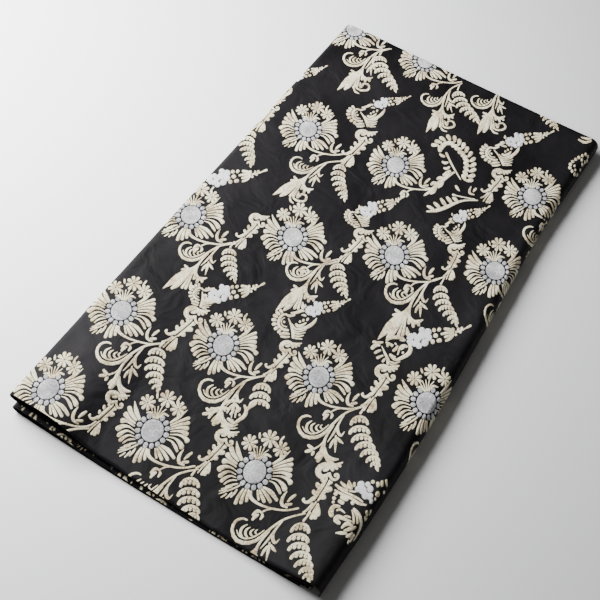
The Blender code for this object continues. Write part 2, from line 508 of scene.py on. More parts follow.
# The flower: its silver middle with a ring of beads, and its petals as
# strokes from the middle outwards. Angles are in degrees from the right.
FLOWER_MIDDLE = 106
BEADS = 14
BEAD_RING = 139
BEAD_START = 114
BEAD_STEP = 23.5
BEAD_LENGTH = 27
BEAD_HALF = 24.5
LITTLE_PETALS = 8
LEFT_FAN = (
    (((-134, 79), (-192, 166), (-226, 256)), (15, 25, 2)),
    (((-162, 71), (-230, 134), (-268, 200)), (12, 23, 25)),
    (((-169, 47), (-246, 89), (-296, 136)), (10, 18, 31)),
    (((-169, 22), (-252, 58), (-320, 60)), (8, 13, 37)),
    (((-158, -19), (-228, 14), (-290, 8), (-342, -30)), (4, 10, 23, 36)),
    (((-158, -46), (-226, -24), (-274, -44), (-316, -88)), (4, 9, 20, 26)),
    (((-150, -72), (-206, -61), (-256, -89), (-290, -128)), (4, 9, 19, 21)),
    (((-138, -92), (-186, -97), (-225, -114), (-254, -144)), (6, 10, 10, 10)),
)
RIGHT_FAN = (
    (((144, 83), (222, 144), (296, 226)), (10, 20, 2)),
    (((150, 62), (246, 114), (332, 152)), (7, 14, 21)),
    (((156, 45), (252, 83), (342, 104)), (6, 13.5, 23)),
    (((159, 26), (250, 52), (342, 50)), (6, 13, 27)),
    (((162, 7), (262, 20), (346, -8)), (5, 14, 29)),
    (((164, -19), (246, -14), (312, -34), (358, -78)), (4, 9, 17, 33)),
    (((157, -42), (222, -49), (280, -89), (314, -142)), (4, 9, 23, 30)),
    (((142, -63), (198, -79), (243, -124), (274, -172)), (4, 9, 18, 12)),
)
LOWER_PETALS = (
    (((98, -120), (186, -163), (262, -236)), (10, 23, 14)),
    (((86, -134), (154, -195), (206, -256)), (8, 18, 17)),
    (((72, -146), (112, -207), (150, -260)), (8, 18, 17)),
    (((58, -150), (74, -202), (94, -246)), (7, 11, 12)),
    (((-19, -156), (-20, -218), (-15, -274)), (8, 16, 17)),
    (((-40, -156), (-58, -228), (-62, -296)), (9, 18, 21)),
    (((-62, -152), (-96, -226), (-112, -306)), (10, 18, 21)),
)
FEATHER_LEAF = (
    (((-100, -130), (-176, -178), (-286, -232)), (10, 9, 5)),
    (((-124, -120), (-176, -138), (-238, -162)), (6, 12, 6)),
    (((-168, -152), (-216, -168), (-270, -186)), (6, 11, 6)),
    (((-206, -182), (-244, -194), (-286, -206)), (5, 9, 5)),
    (((-122, -166), (-138, -206), (-168, -250)), (7, 14, 8)),
    (((-160, -196), (-178, -228), (-210, -266)), (6, 12, 7)),
    (((-204, -214), (-224, -234), (-256, -260)), (6, 10, 6)),
)
STAMENS = (
    (((-14, 108), (-30, 160), (-62, 222)), (8, 6.2, 6)),
    (((-4, 110), (-11, 168), (-27, 230)), (8, 6, 6)),
    (((8, 110), (10, 170), (10, 236)), (8, 6, 6)),
    (((18, 110), (29, 172), (48, 234)), (8, 6, 6)),
    (((28, 108), (48, 168), (92, 212)), (8, 6.2, 6)),
    (((-18, 122), (-48, 160), (-94, 160)), (6, 14, 7)),
    (((44, 126), (74, 163), (128, 146)), (6, 15, 7)),
)
LITTLE_FLOWERS = (((-100, 252), 78), ((82, 305), 86), ((202, 224), 78))
FLOWER_BUDS = (
    (((-14, 296), (-20, 326), (-26, 356)), (8, 14, 6)),
    (((178, 292), (194, 318), (212, 348)), (8, 13, 8)),
)
FLOWER_STEM = (
    (((-6, -164), (16, -228), (100, -276), (222, -302), (350, -306), (470, -278)),
     (22, 18, 12, 10, 10, 11)),
    (((364, -284), (304, -258), (298, -200), (328, -134)), (9, 18, 18, 4)),
    (((344, -234), (376, -196), (414, -158)), (7, 19, 11)),
    (((328, -252), (360, -254), (400, -246)), (6, 16, 13)),
    (((260, -300), (186, -314), (126, -352)), (9, 9, 9)),
    (((136, -340), (96, -338), (60, -382)), (9, 19, 12)),
    (((122, -362), (90, -384), (68, -424)), (10, 22, 10)),
    (((142, -350), (154, -376), (136, -410)), (8, 17, 9)),
)

# The vine that rises from the flower's node: trumpet, stems, leaf and curl
VINE = (
    (((120, 60), (84, -14), (50, -80)), (3, 17, 19)),
    (((122, 60), (102, -20), (84, -84)), (3, 19, 22)),
    (((124, 60), (125, -8), (116, -62)), (3, 14, 20)),
    (((-20, -14), (30, 14), (84, 68)), (10, 12, 13)),
    (((10, -64), (44, -8), (76, 32), (114, 78)), (9, 9, 9, 8)),
    (((92, 118), (54, 82), (16, 78), (-6, 102), (12, 114)), (16, 20, 14, 13, 12)),
    (((78, 80), (122, 142), (172, 204), (224, 268)), (14, 22, 22, 9)),
    (((114, 134), (94, 154), (88, 182)), (17, 22, 12)),
    (((152, 188), (132, 212), (126, 242)), (18, 24, 13)),
    (((192, 232), (176, 252), (174, 280)), (15, 20, 10)),
    (((118, 72), (162, 122), (212, 184), (244, 250)), (8, 18, 18, 7)),
    (((144, 96), (198, 104)), (16, 29)),
    (((194, 150), (256, 170)), (18, 33)),
    (((226, 210), (264, 228)), (14, 20)),
    (((268, 364), (210, 380), (158, 362), (143, 318), (173, 282), (220, 286), (242, 310)),
     (20, 30, 32, 30, 25, 21, 11)),
    (((252, 356), (216, 338), (184, 336)), (16, 19, 7)),
    (((240, 366), (300, 362), (376, 388)), (26, 25, 4)),
    (((260, 348), (284, 318)), (16, 17)),
    (((294, 350), (324, 330)), (16, 17)),
    (((326, 360), (354, 350)), (14, 14)),
    (((246, 316), (250, 270), (278, 240), (314, 252), (314, 282), (292, 284), (294, 262)),
     (9, 14, 14, 15, 14, 13, 12)),
)

# The closed scroll over the vine's curl: spine, ring of leaves, left leaves
CLOSED_SCROLL = (
    (((80, 32), (78, 86), (52, 148), (16, 236)), (22, 20, 14, 4)),
    (((96, 42), (136, 28), (196, 26)), (9, 11, 5)),
    (((98, 68), (148, 52), (206, 66)), (9, 12, 6)),
    (((106, 118), (162, 84), (228, 108), (286, 140), (314, 192), (298, 260)), (12, 17, 22, 26, 24, 13)),
    (((94, 148), (124, 118), (162, 112)), (16, 21, 10)),
    (((126, 174), (156, 192), (188, 236)), (16, 18, 12)),
    (((206, 190), (234, 208), (256, 236)), (15, 19, 12)),
    (((178, 132), (196, 186), (218, 236)), (8, 13, 9)),
    (((226, 144), (242, 170)), (13, 14)),
    (((60, 272), (100, 248), (142, 234)), (14, 17, 10)),
    (((74, 256), (82, 216)), (13, 14)),
    (((114, 254), (128, 216)), (13, 14)),
    (((154, 262), (172, 240)), (12, 13)),
    (((60, 284), (118, 312), (190, 318), (256, 304)), (10, 20, 22, 12)),
    (((40, 268), (-24, 262), (-78, 274)), (12, 17, 19)),
    (((8, 236), (-50, 230), (-90, 192)), (10, 24, 22)),
    (((14, 188), (-26, 172), (-62, 150)), (9, 17, 15)),
    (((36, 134), (-8, 114), (-42, 102)), (8, 17, 17)),
    (((52, 104), (36, 82), (18, 60)), (10, 16, 13)),
)

# The open scroll: spine with fringes, a hooked leaf, and a ring with fingers
OPEN_SCROLL = (
    (((112, 34), (119, 96), (118, 170), (102, 262)), (22, 19, 14, 6)),
    (((124, 40), (160, 30), (204, 16)), (9, 11, 5)),
    (((126, 66), (172, 50), (228, 52)), (8, 10, 5)),
    (((128, 96), (178, 74), (252, 80)), (8, 10, 5)),
    (((124, 128), (172, 98), (268, 106)), (7, 9, 6)),
    (((128, 194), (152, 134), (216, 122), (296, 136), (364, 172), (402, 214)), (6, 12, 17, 22, 19, 4)),
    (((164, 188), (182, 158), (232, 158), (282, 182)), (15, 19, 17, 7)),
    (((206, 188), (226, 210)), (13, 15)),
    (((244, 196), (264, 222)), (13, 15)),
    (((286, 196), (314, 226)), (12, 15)),
    (((86, 130), (30, 148), (-12, 200), (8, 262), (54, 298), (100, 292)), (12, 17, 17, 17, 16, 11)),
    (((-20, 252), (-46, 262), (-76, 269)), (13, 21, 21)),
    (((-26, 216), (-52, 218), (-82, 216)), (13, 21, 21)),
    (((-19, 180), (-42, 174), (-69, 162)), (13, 21, 21)),
    (((2, 150), (-16, 139), (-40, 122)), (12, 19, 19)),
    (((-2, 278), (-25, 299), (-50, 316)), (13, 21, 21)),
    (((21, 298), (8, 320), (-12, 346)), (13, 20, 20)),
    (((52, 310), (46, 334), (32, 360)), (13, 19, 19)),
    (((40, 222), (64, 226)), (17, 17)),
    (((74, 166), (26, 194), (28, 248), (72, 268)), (6, 8, 8, 6)),
    (((86, 90), (30, 108), (-26, 106)), (10, 19, 13)),
    (((80, 64), (34, 68), (-20, 84)), (9, 16, 12)),
    (((184, 278), (116, 276), (80, 306)), (14, 15, 9)),
    (((270, 314), (206, 300), (136, 302)), (18, 19, 9)),
)

# The silver rosette beside its gold spray. Lobes: centre and radius
ROSETTE_MIDDLE = (-40, -12)
ROSETTE_PETALS = 9
ROSETTE_RADIUS = 74
ROSETTE_HALVES = (7, 20, 26)
ROSETTE_LOBES = (
    (46, 32, 44), (44, 88, 34), (104, 68, 40), (110, 8, 38), (72, -44, 39), (12, -74, 34),
)
SPRAY = (
    (((146, 84), (188, 94)), (24, 32)),
    (((128, -32), (174, -38)), (26, 34)),
    (((156, 26), (208, 34)), (24, 32)),
    (((210, 74), (230, 116)), (19, 24)),
    (((190, -32), (244, -12)), (22, 30)),
    (((372, 74), (332, 94), (262, 104)), (8, 19, 19)),
    (((372, 68), (299, 60), (230, 44)), (8, 18, 14)),
    (((370, 62), (330, 34), (264, 12)), (7, 17, 16)),
    (((370, 52), (334, 4), (274, -30)), (7, 17, 16)),
    (((370, 80), (354, 116)), (14, 21)),
    (((384, 58), (388, 24)), (13, 17)),
    (((410, 82), (418, 118)), (13, 18)),
    (((442, 92), (454, 126)), (12, 16)),
    (((420, 78), (442, 56)), (12, 17)),
    (((373, 68), (440, 84), (503, 114)), (13, 11, 8)),
    (((494, 110), (550, 138)), (12, 18)),
    (((-106, 88), (-108, 34)), (5, 27)),
    (((-184, -18), (-148, -14), (-118, -18)), (6, 19, 12)),
    (((-170, -72), (-134, -74), (-98, -88)), (8, 18, 14)),
)

# The hanging cone: a row for each tier from the top, with x, y, width and drop.
# A scallop's points have a share of the width aside, a share of the drop down,
# and how much more of it at the sides. An arch has shares aside and up.
CONE_TIERS = (
    (-6, 8, 206, 104), (-4, -94, 234, 94), (20, -178, 230, 92), (56, -258, 224, 88),
    (98, -332, 196, 82), (134, -402, 152, 72), (158, -462, 106, 56),
)
CONE_TIP = (((164, -496), (174, -534), (186, -570)), (16, 22, 6))
SHORT_CONE_TIERS = (
    (-6, 8, 210, 98), (-6, -86, 240, 88), (6, -164, 236, 84), (28, -240, 206, 80),
    (54, -310, 152, 68), (76, -370, 96, 52),
)
CONE_TOP_LEAF = (((-30, -220), (-84, -260), (-120, -320)), (20, 24, 12))
SHORT_CONE_TIP = (((86, -406), (96, -434), (108, -466)), (16, 20, 6))
SCALLOP = ((0.28, 0.34, 0.26), (0.37, 0.56, 0.27), (0.42, 0.80, 0.28))
SCALLOP_HALVES = (0.30, 0.43, 0.46)
SCALLOPS = ((150, 5), (100, 4), (0, 3))
ARCH = ((-0.45, -0.80), (-0.26, -0.38), (0.0, -0.22), (0.26, -0.38), (0.45, -0.80))
ARCH_HALVES = (7, 14, 16, 14, 7)
CONE_STALK = (((-4, 6), (24, 54), (54, 104)), (16, 11, 10))

# The branch that falls to the left of the node: stem, comb curl, leaves
BRANCH = (
    (((26, -16), (-92, -50), (-198, -100), (-301, -197), (-389, -293), (-492, -332),
      (-598, -307), (-649, -219), (-627, -142), (-568, -115), (-515, -127)),
     (9, 11, 12, 15, 19, 21, 20, 18, 16, 13, 8)),
    (((-334, -194), (-414, -262), (-496, -292), (-570, -272), (-608, -216)), (5, 9, 9, 8, 5)),
    (((-180, -92), (-228, -171), (-263, -239), (-298, -301), (-351, -378)), (8, 12, 15, 13, 3)),
    (((-234, -174), (-248, -224), (-244, -276), (-212, -310), (-178, -267)), (9, 14, 19, 15, 3)),
    (((-266, -300), (-266, -380), (-269, -484)), (8, 20, 3)),
    (((-256, -324), (-226, -360), (-188, -394)), (9, 19, 6)),
    (((-278, -336), (-306, -388), (-324, -436)), (9, 18, 9)),
    (((-284, -196), (-354, -304), (-386, -386)), (9, 14, 18)),
    (((-370, -352), (-424, -408), (-484, -444)), (9, 9, 10)),
    (((-474, -438), (-510, -424), (-546, -396)), (9, 20, 12)),
    (((-486, -448), (-528, -458), (-572, -466)), (9, 21, 13)),
    (((-476, -456), (-488, -482), (-498, -506)), (9, 19, 12)),
)
COMB_TEETH = (
    (((-526, -288), (-562, -250), (-555, -197), (-507, -160)), (6, 16, 15, 5)),
    (((-479, -284), (-513, -251), (-512, -211), (-475, -183)), (6, 14, 13, 4)),
    (((-433, -268), (-463, -247), (-465, -221), (-436, -197)), (5, 12, 11, 4)),
    (((-396, -246), (-420, -232), (-421, -214), (-400, -196)), (5, 10, 9, 4)),
)

# The two ends that a branch can have: a tulip leaf, or a hooked leaf
TULIP_END = (
    (((-374, -350), (-430, -424), (-540, -516), (-624, -626), (-724, -740)), (12, 22, 44, 48, 4)),
    (((-428, -430), (-500, -550), (-570, -660), (-628, -726)), (8, 34, 40, 14)),
    (((-550, -506), (-604, -564), (-670, -626)), (20, 30, 4)),
    (((-386, -370), (-442, -500), (-468, -590), (-508, -700)), (12, 10, 13, 23)),
    (((-382, -370), (-420, -480), (-438, -590), (-462, -700)), (10, 10, 14, 22)),
    (((-376, -360), (-392, -470), (-344, -534), (-286, -530), (-236, -506)), (10, 24, 32, 25, 6)),
    (((-386, -500), (-392, -564)), (22, 17)),
    (((-346, -540), (-342, -600)), (24, 18)),
    (((-292, -540), (-282, -584)), (22, 17)),
    (((-412, -590), (-406, -640), (-396, -690)), (3, 22, 26)),
)
HOOK_END = (
    (((-376, -360), (-392, -430), (-406, -500), (-444, -570)), (16, 26, 32, 22)),
    (((-400, -460), (-432, -494), (-464, -536)), (16, 22, 11)),
    (((-376, -420), (-358, -504), (-303, -544), (-226, -546)), (16, 29, 27, 7)),
    (((-356, -532), (-310, -572), (-260, -602)), (18, 24, 8)),
)
TULIP_CURL = (
    (((-474, -600), (-460, -684), (-386, -724), (-294, -704), (-300, -626), (-368, -618),
      (-378, -664)), (10, 15, 19, 19, 17, 15, 12)),
    (((-500, -680), (-476, -744), (-420, -776)), (10, 18, 8)),
)

# The leafy crescent that breaks the repeat beside a node, with its neighbours
CRESCENT_LINE = (
    (-510, 700), (-440, 766), (-340, 784), (-250, 718), (-180, 626), (-128, 520),
    (-128, 400), (-156, 280), (-210, 188),
)
CRESCENT_LEAVES = 14
LEAF_START = 20
LEAF_MIDDLE = (38, -8)
LEAF_TIP = (76, -44)
LEAF_HALVES = (13, 31, 29)
BESIDE_NODE = (
    (((-416, 626), (-338, 426), (-240, 224)), (19, 14, 8)),
    (((-420, 560), (-460, 566), (-496, 600)), (14, 24, 12)),
    (((-386, 480), (-430, 466), (-470, 490)), (14, 24, 12)),
    (((-370, 420), (-410, 388), (-456, 400)), (14, 23, 14)),
    (((-366, 370), (-390, 340), (-440, 334)), (18, 26, 14)),
    (((-310, 344), (-400, 288), (-504, 204), (-600, 106), (-720, 20)), (12, 28, 32, 30, 12)),
    (((-380, 304), (-426, 316), (-466, 294)), (16, 24, 16)),
    (((-450, 254), (-500, 264), (-544, 240)), (16, 26, 16)),
    (((-530, 184), (-580, 194), (-624, 168)), (16, 26, 16)),
    (((-610, 104), (-656, 116), (-700, 98)), (16, 24, 14)),
    (((-460, 220), (-490, 164), (-536, 126)), (14, 24, 10)),
    (((-550, 136), (-586, 76), (-634, 44)), (14, 24, 10)),
    (((-316, 164), (-294, 120), (-266, 80)), (14, 22, 5)),
    (((-79, -30), (-210, -2), (-320, 26)), (8, 9, 9)),
    (((-310, 20), (-366, 40)), (13, 17)),
    (((-40, -44), (-210, -42), (-330, -74), (-450, -128), (-570, -168), (-706, -180)),
     (10, 12, 22, 28, 26, 10)),
    (((-300, -54), (-330, -24), (-366, 2)), (16, 26, 16)),
    (((-370, -84), (-406, -32), (-436, 14)), (18, 28, 14)),
    (((-446, -116), (-480, -60), (-512, -6)), (18, 29, 14)),
    (((-520, -140), (-560, -98), (-600, -58)), (18, 28, 14)),
    (((-600, -158), (-640, -130), (-686, -104)), (16, 26, 14)),
    (((-86, 32), (-142, 50), (-146, 94), (-120, 150)), (8, 18, 18, 4)),
    (((-104, 66), (-84, 96), (-56, 124)), (8, 19, 10)),
)


# The cluster of leaves beside the roll near the front, with its silver part
ROLL_CLUSTER = (
    (((184, 10), (214, 24)), (26, 26)),
    (((202, -26), (254, -84), (290, -162), (278, -230), (234, -316)), (10, 17, 19, 16, 6)),
    (((200, -36), (234, -100), (250, -174)), (6, 11, 15)),
    (((192, -40), (206, -104), (208, -174)), (6, 11, 15)),
    (((94, -8), (34, 2), (6, -46), (20, -96)), (12, 22, 28, 20)),
    (((134, -72), (92, -34), (52, -38)), (6, 12, 11)),
    (((194, -152), (124, -122), (68, -96), (50, -124), (90, -166)), (12, 16, 24, 27, 15)),
    (((186, -116), (148, -98), (112, -102)), (7, 12, 7)),
    (((204, -184), (146, -166), (96, -204)), (10, 25, 9)),
    (((242, -194), (188, -208), (114, -226)), (11, 26, 9)),
    (((152, -248), (98, -244), (44, -240)), (14, 19, 5)),
    (((212, -238), (176, -270), (138, -268)), (12, 25, 13)),
    (((234, -250), (210, -286), (192, -326)), (12, 18, 8)),
    (((185, -302), (168, -338)), (13, 14)),
    (((168, 132), (94, 158), (46, 204)), (14, 19, 11)),
    (((173, 150), (128, 186), (94, 226)), (11, 18, 9)),
    (((196, 138), (176, 188), (170, 230)), (18, 26, 5)),
    (((214, 160), (224, 210)), (17, 15)),
    (((36, 154), (106, 106), (187, 63), (250, 12), (332, -8)), (10, 14, 15, 16, 8)),
    (((96, 142), (180, 98), (250, 54), (296, 18)), (8, 11, 13, 8)),
    (((236, 114), (168, 132)), (9, 12)),
    (((34, 124), (66, 102)), (20, 20)),
    (((89, 89), (166, 48)), (22, 27)),
    (((20, 86), (50, 64)), (18, 20)),
    (((16, 48), (40, 34)), (16, 18)),
    (((70, 54), (126, 16)), (19, 22)),
    (((382, 180), (396, 214)), (22, 22)),
    (((430, 200), (438, 146)), (18, 22)),
    (((472, 212), (482, 148)), (20, 22)),
    (((516, 220), (540, 152)), (18, 14)),
    (((410, 96), (464, 80)), (28, 32)),
    (((404, 40), (428, 48)), (20, 22)),
    (((504, 120), (526, 94)), (18, 16)),
    (((326, -50), (350, -104)), (20, 16)),
    (((386, -40), (374, -94)), (13, 10)),
    (((318, -94), (332, -136), (354, -108)), (9, 13, 9)),
)
ROLL_CLUSTER_SILVER = (
    (280, 178, 36), (252, 140, 30), (294, 126, 38), (342, 176, 26), (362, 134, 32),
    (316, 78, 36), (358, 68, 34), (374, 24, 24),
)

# The leafy ring beside the roll near the back, and the leaf at its corner
CORNER_LEAVES = (
    (-114, 38, 24), (-126, -8, 24), (-100, -54, 24), (-60, -86, 25), (-8, -80, 23),
    (-84, 76, 23), (-44, 106, 23), (-4, 132, 24), (44, 156, 24), (92, 176, 24),
    (132, 158, 23), (130, 110, 23), (90, 84, 22), (52, 50, 22), (36, 102, 22),
    (32, -16, 18), (-66, 18, 18), (-54, -34, 18),
)
CORNER_LEAF = (
    (((16, 386), (90, 340), (184, 362)), (12, 24, 14)),
    (((54, 414), (121, 392), (186, 390)), (10, 20, 12)),
)

# One of the stitches along the selvedge, their count, and how far they lie
# inside it in millimetres
STITCH = ((((-6, -8), (8, 9)), (4.2, 4.2)),)
STITCHES = 118
STITCH_INSET = 1.6

# Where the figures lie on the top layer: u and t in millimetres on the flat
# cloth, the turn in degrees, and the size
FLOWERS = (
    (-130, 498, -1, 0.98), (-50, 501, -3, 0.98), (-97, 360, -4, 1.0), (-8, 371, -3, 0.98),
    (114, 407, 0, 1.0), (-127, 217, -1, 1.02), (-44, 251, 2, 1.02), (39, 284, 2, 1.02),
    (121, 315, 0, 1.0), (-116, 106, -2, 0.98), (-34, 130, -3, 0.98), (44, 148, -3, 0.98),
    (127, 171, 0, 1.0), (-117, 18, -4, 0.98), (-36, 39, -5, 1.0), (46, 54, -8, 1.01),
)
CONES = (
    (-91, 481, 2, 0.96), (-5, 484, 8, 0.86), (-139, 328, -14, 0.85), (-50, 343, -12, 0.8),
    (87, 278, -3, 0.82), (88, 136, -3, 0.96), (98, 38, -10, 0.94),
)
SHORT_CONES = (
    (74, 513, 8, 0.74), (-81, 209, -1, 0.8), (2, 250, 0, 0.84), (10, 25, -2, 0.98), (-73, 98, -8, 0.91),
)
VINES = (
    (-139, 333, 4, 0.92), (-52, 348, -4, 1.04), (-81, 217, -5, 0.88), (1, 257, -7, 0.88),
    (85, 289, 6, 0.84), (-74, 105, -9, 1.0), (7, 127, -6, 0.88), (85, 145, -2, 1.0), (-76, 13, -5, 0.86),
    (9, 34, -5, 0.9), (94, 46, 4, 1.04), (76, 382, -3, 0.94),
)
CLOSED_SCROLLS = (
    (81, 181, -2, 1.0), (7, 66, 10, 0.88), (-142, 366, 14, 0.9),
)
OPEN_SCROLLS = (
    (-55, 386, 20, 1.01), (77, 317, 28, 0.84), (0, 288, 26, 0.76), (-73, 142, -4, 0.76),
    (5, 158, 11, 0.99), (73, 416, 21, 1.03),
)
SPRAYS = (
    (-58, 427, 4, 0.7), (69, 458, 2, 0.92), (69, 351, 6, 0.7), (-64, 166, 2, 0.9), (8, 199, 2, 0.74),
    (94, 221, -4, 1.02), (-132, 263, -1, 1.02), (-4, 313, 8, 0.84), (-143, 411, 10, 0.74),
)
TULIP_BRANCHES = (
    (-88, 497, -1, 0.9), (-8, 496, 11, 0.84), (-52, 348, -15, 0.86), (-81, 217, -8, 0.86),
    (1, 257, -5, 0.88), (85, 289, -4, 0.98), (33, 521, 11, 0.84),
)
HOOK_BRANCHES = (
    (-74, 105, -5, 0.94), (7, 127, -6, 0.94), (85, 145, -2, 0.95), (94, 46, -8, 0.94), (9, 34, -6, 0.96),
    (-76, 13, -5, 0.96), (157, 406, 0, 0.94), (163, 314, 0, 0.96), (169, 171, 0, 0.95),
)
TULIP_CURLS = TULIP_BRANCHES[:3] + TULIP_BRANCHES[-1:]
CRESCENTS = ((76, 382, 0, 0.94),)
CONE_TOPS = ((11, 120, -10, 0.94),)
ROLL_CLUSTERS = ((108, 58, 0, 1.0),)
CORNERS = ((135, 463, 0, 1.0),)

# The plain repeat on the folded-in layers, in millimetres: its steps, where its
# first flower lies, how far every other row is shifted, and how the rows lean
REPEAT_ACROSS = 84.0
REPEAT_ALONG = 112.0
REPEAT_START = (-48.0, 40.0)
REPEAT_SHIFT = -18.0
REPEAT_LEAN = 0.02
NODE_FROM_FLOWER = (-41.6, -0.8)
SCROLL_FROM_NODE = (-4.0, 36.0)
CONE_FROM_NODE = (2.0, -8.0)
SPRAY_FROM_NODE = (9.0, 76.0)


def little_flower(centre, radius):
    """A small open flower of short petals."""
    angles = [360 * (petal + 0.3) / LITTLE_PETALS for petal in range(LITTLE_PETALS)]
    reaches = [radius * share for share in (0.04, 0.6, 1.0)]
    return ring(centre, angles, reaches, [radius * share for share in (0.02, 0.22, 0.26)])


def flower_gold():
    """The gold petals, stamens, little flowers and stem of the main flower."""
    rows = LEFT_FAN + RIGHT_FAN + LOWER_PETALS + FEATHER_LEAF + STAMENS + FLOWER_BUDS + FLOWER_STEM
    rows = list(rows)
    for centre, radius in LITTLE_FLOWERS:
        rows += little_flower(centre, radius)
    return rows


def flower_silver():
    """The silver middle of the main flower, with its ring of beads."""
    angles = [BEAD_START + BEAD_STEP * bead for bead in range(BEADS)]
    reaches = [BEAD_RING + BEAD_LENGTH * share for share in (-1, 0, 1)]
    half_widths = [BEAD_HALF * share for share in (0.9, 1.0, 1.05)]
    return [disc(0, 0, FLOWER_MIDDLE)] + ring((0, 0), angles, reaches, half_widths)


def cone_gold(tiers, tip):
    """The hanging cone: scalloped tiers that narrow to a tip."""
    rows = [CONE_STALK, tip]
    for x, y, width, drop in tiers:
        scallops = next(count for over, count in SCALLOPS if width > over)
        for scallop in range(scallops):
            spread = 2 * scallop / (scallops - 1) - 1
            line = [
                (x + spread * width * aside, y - drop * (down + more * spread**2))
                for aside, down, more in SCALLOP
            ]
            rows.append((line, [width / scallops * half for half in SCALLOP_HALVES]))
        rows.append(([(x + width * aside, y + drop * up) for aside, up in ARCH], ARCH_HALVES))
    return rows


def discs(places):
    """A round spot for each row of x, y and radius."""
    return [disc(x, y, radius) for x, y, radius in places]


def rosette_silver():
    """The silver rosette: petals from its middle, and lobes beside it."""
    angles = [360 * petal / ROSETTE_PETALS for petal in range(ROSETTE_PETALS)]
    reaches = [ROSETTE_RADIUS * share for share in (0.08, 0.6, 1.0)]
    return ring(ROSETTE_MIDDLE, angles, reaches, ROSETTE_HALVES) + discs(ROSETTE_LOBES)


def stitch_places():
    """Places of the stitches along the selvedge, a little inside it."""
    step = CLOTH_LENGTH * 1000 / STITCHES
    u = CLOTH_START * 1000 - STITCH_INSET
    return [(u, (stitch + 0.5) * step, 0, 1.0) for stitch in range(STITCHES)]


def crescent_gold():
    """The crescent of overlapping leaves, and the leaves beside the node."""
    rows = list(BESIDE_NODE)
    places = smooth_line(CRESCENT_LINE, np.linspace(0, 1, CRESCENT_LEAVES + 1))
    for here, following in zip(places, places[1:]):
        ahead = (following - here) / np.linalg.norm(following - here)
        aside = np.array((-ahead[1], ahead[0]))
        for side in (-1, 1):
            middle, tip = (here + aside * side * out + ahead * on for out, on in (LEAF_MIDDLE, LEAF_TIP))
            rows.append(((here + ahead * LEAF_START, middle, tip), LEAF_HALVES))
    return rows


def figure_tree():
    """Node tree that sets a figure on each placed point, turned and sized."""
    tree = bpy.data.node_groups.new("figures_on_places", "GeometryNodeTree")
    inputs = {"Places": "Geometry", "Figure": "Object", "Size": "Float", "Thread": "Material"}
    add_sockets(tree, "INPUT", inputs)
    add_sockets(tree, "OUTPUT", {"Figures": "Geometry"})
    nodes = tree.nodes
    given = nodes.new("NodeGroupInput")
    result = nodes.new("NodeGroupOutput")
    figure = nodes.new("GeometryNodeObjectInfo")
    turn = add_node(nodes, "GeometryNodeInputNamedAttribute", {"Name": "turn"}, data_type="FLOAT")
    size = add_node(nodes, "GeometryNodeInputNamedAttribute", {"Name": "size"}, data_type="FLOAT")
    sized = add_node(nodes, "ShaderNodeMath", operation="MULTIPLY")
    angles = nodes.new("ShaderNodeCombineXYZ")
    scale = add_node(nodes, "ShaderNodeCombineXYZ", {"Z": 1.0})
    placed = nodes.new("GeometryNodeInstanceOnPoints")
    realized = nodes.new("GeometryNodeRealizeInstances")
    coloured = nodes.new("GeometryNodeSetMaterial")
    join_nodes(
        tree.links,
        (given, "Figure", figure, "Object"),
        (turn, "Attribute", angles, "Z"),
        (size, "Attribute", sized, 0),
        (given, "Size", sized, 1),
        (sized, "Value", scale, "X"),
        (sized, "Value", scale, "Y"),
        (given, "Places", placed, "Points"),
        (figure, "Geometry", placed, "Instance"),
        (angles, "Vector", placed, "Rotation"),
        (scale, "Vector", placed, "Scale"),
        (placed, "Instances", realized, "Geometry"),
        (realized, "Geometry", coloured, "Geometry"),
        (given, "Thread", coloured, "Material"),
        (coloured, "Geometry", result, "Figures"),
    )
    return tree


def place_figures(tree, name, figure, places, thread):
    """A flat mesh of a figure set on all its places."""
    points = bpy.data.meshes.new(name + "_places")
    points.from_pydata([(u / 1000, t / 1000, 0.0) for u, t, turn, size in places], [], [])
    turns = points.attributes.new("turn", "FLOAT", "POINT")
    turns.data.foreach_set("value", [math.radians(turn) for u, t, turn, size in places])
    sizes = points.attributes.new("size", "FLOAT", "POINT")
    sizes.data.foreach_set("value", [float(size) for u, t, turn, size in places])
    holder = new_object(name + "_places", points)
    source = new_object(name + "_figure", figure)
    setter = holder.modifiers.new("figures", "NODES")
    setter.node_group = tree
    values = {"Figure": source, "Size": 1.0, "Thread": thread}
    for item in tree.interface.items_tree:
        if item.in_out == "INPUT" and item.name in values:
            setter[item.identifier] = values[item.name]
    bpy.context.view_layer.update()
    evaluated = holder.evaluated_get(bpy.context.evaluated_depsgraph_get())
    made = bpy.data.meshes.new_from_object(evaluated)
    holder.modifiers.remove(setter)
    for used in (holder, source):
        bpy.data.objects.remove(used, do_unlink=True)
    return made


def clip_to_cloth(mesh):
    """Cut a flat mesh of figures off at the selvedges and the cut edges."""
    shape = bmesh.new()
    shape.from_mesh(mesh)
    low_u, high_u = CLOTH_START - CLOTH_WIDTH + BARE_RIM, CLOTH_START - BARE_RIM
    low_t, high_t = BARE_RIM, CLOTH_LENGTH - BARE_RIM
    cuts = (
        ((low_u, 0, 0), (-1, 0, 0)), ((high_u, 0, 0), (1, 0, 0)),
        ((0, low_t, 0), (0, -1, 0)), ((0, high_t, 0), (0, 1, 0)),
    )
    for point, outside in cuts:
        everything = shape.verts[:] + shape.edges[:] + shape.faces[:]
        bmesh.ops.bisect_plane(
            shape, geom=everything, dist=1e-7, plane_co=point, plane_no=outside, clear_outer=True
        )
    shape.to_mesh(mesh)
    shape.free()


